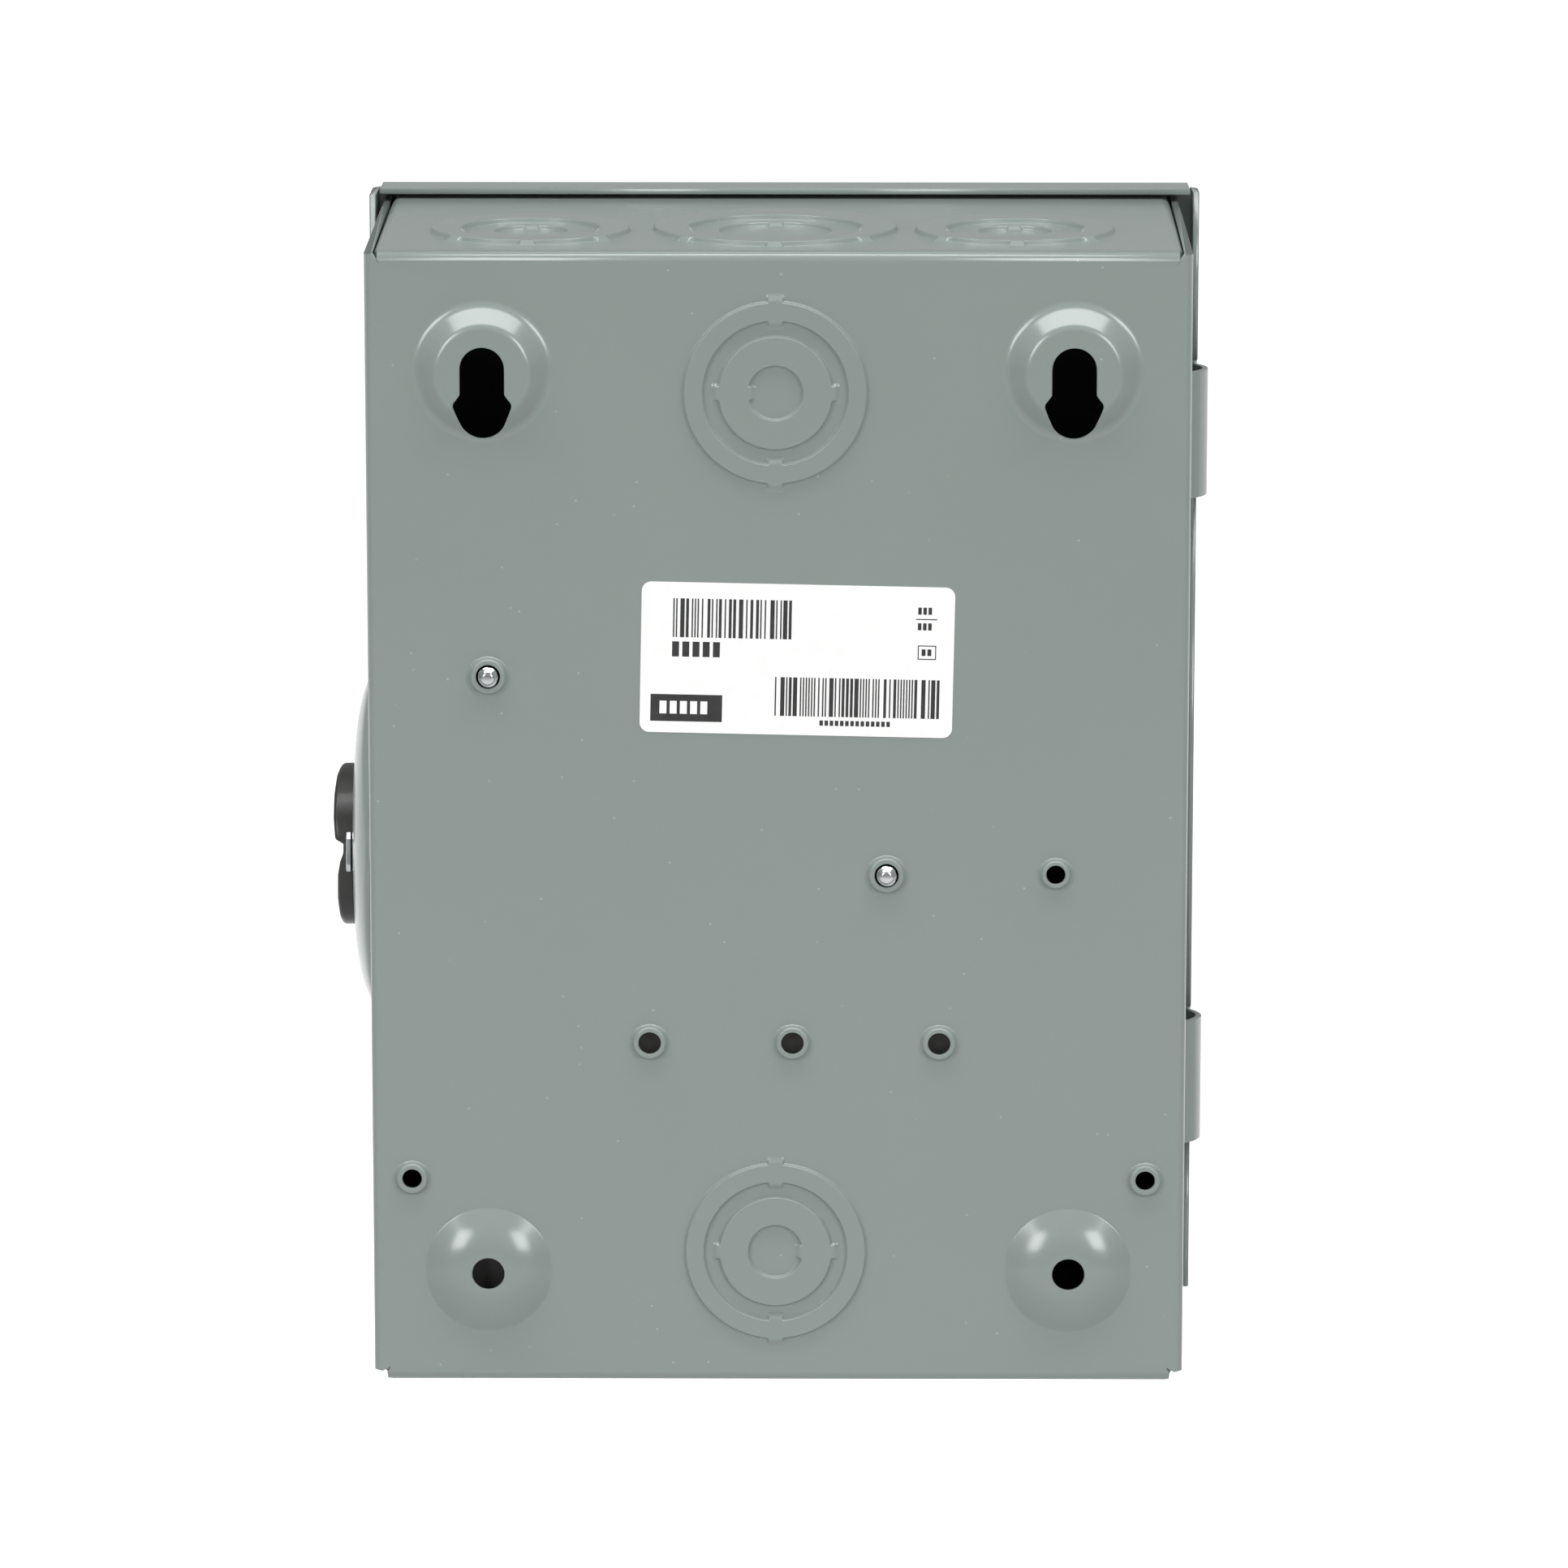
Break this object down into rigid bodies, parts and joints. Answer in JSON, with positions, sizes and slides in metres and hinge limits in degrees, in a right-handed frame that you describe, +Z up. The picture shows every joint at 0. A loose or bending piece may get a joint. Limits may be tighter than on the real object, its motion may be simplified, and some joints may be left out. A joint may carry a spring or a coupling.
{
  "type": "ac disconnect box",
  "caption": "Wall-mounted fusible safety switch: folded steel box with stamped mounting bosses and knockouts, hinged cover, side handle, blades, fuses and neutral.",
  "frame": {"origin": "centre of the wall plane, on which the four mounting bosses stand, at the middle of the box height and width", "axes": "+Z up, +Y towards the wall, +X towards the handle side; the cover faces -Y"},
  "size_m": [0.1864, 0.0958, 0.2542],
  "materials": {
    "grey_paint": "semi-gloss baked enamel, grey",
    "label_paper": "satin coated label stock",
    "black_moulding": "satin black moulded plastic",
    "base_moulding": "thermoset moulding",
    "crossbar_moulding": "thermoset moulding",
    "fibre_sheet": "vulcanised fibre",
    "copper": "bare copper alloy",
    "fuse_tube": "fibre tube",
    "fuse_caps": "brass ferrules",
    "zinc_screws": "bright zinc plated",
    "lug_aluminium": "tin plated",
    "nylon": "natural nylon",
    "spring_steel": "oiled wire",
    "zinc_steel": "bright zinc plated"
  },
  "bodies": {
    "box": {"back_label": "label_paper", "base_screw_1": "zinc_screws", "base_screw_2": "zinc_screws", "box_hasp": "zinc_steel", "bracket_screw_1": "zinc_screws", "bracket_screw_2": "zinc_screws", "enclosure_body": "grey_paint", "fuse_1_cap_bottom": "fuse_caps", "fuse_1_cap_top": "fuse_caps", "fuse_1_tube": "fuse_tube", "fuse_2_cap_bottom": "fuse_caps", "fuse_2_cap_top": "fuse_caps", "fuse_2_tube": "fuse_tube", "line_jaw_1": "copper", "line_jaw_2": "copper", "line_lug_1": "lug_aluminium", "line_lug_2": "lug_aluminium", "line_lug_screw_1": "zinc_screws", "line_lug_screw_2": "zinc_screws", "line_shield": "fibre_sheet", "load_clip_1": "copper", "load_clip_2": "copper", "load_jaw_1": "copper", "load_jaw_2": "copper", "load_lug_1": "lug_aluminium", "load_lug_2": "lug_aluminium", "load_lug_screw_1": "zinc_screws", "load_lug_screw_2": "zinc_screws", "mechanism_bracket": "zinc_steel", "neutral_bar": "lug_aluminium", "neutral_screw_1": "zinc_screws", "neutral_screw_2": "zinc_screws", "neutral_screw_3": "zinc_screws", "neutral_screw_4": "zinc_screws", "rotor_cap_left": "base_moulding", "rotor_cap_right": "base_moulding", "shaft_bushing": "nylon", "switch_base": "base_moulding", "toggle_spring": "spring_steel"},
    "cover": {"cover": "grey_paint", "cover_label": "label_paper", "wiring_label": "label_paper", "interlock_hook": "zinc_steel", "cover_hasp": "zinc_steel"},
    "handle": {"handle": "black_moulding", "handle_shaft": "zinc_steel", "drive_crank": "zinc_steel", "shaft_clip": "zinc_steel"},
    "lock_tab": {"lock_tab": "zinc_steel"},
    "rotor": {"crossbar": "crossbar_moulding", "blade_1": "copper", "blade_2": "copper"}
  },
  "joints": [
    {"name": "cover_hinge", "type": "hinge", "parent": "box", "child": "cover", "pos_m": [-0.0847, -0.084, 0], "axis": [0, 0, -1], "range_deg": [0, 100]},
    {"name": "handle_turn", "type": "hinge", "parent": "box", "child": "handle", "pos_m": [0, -0.0435, -0.011], "axis": [-1, 0, 0], "range_deg": [0, 60]},
    {"name": "rotor_turn", "type": "hinge", "parent": "box", "child": "rotor", "pos_m": [0, -0.0435, -0.011], "axis": [-1, 0, 0], "range_deg": [0, 60]},
    {"name": "lock_tab_slide", "type": "slide", "parent": "handle", "child": "lock_tab", "axis": [0, 0.9799, 0.1994], "range_m": [0, 0.008]}
  ],
  "couplings": [
    {"joint": "rotor_turn", "follows": "handle_turn", "ratio": 1}
  ]
}
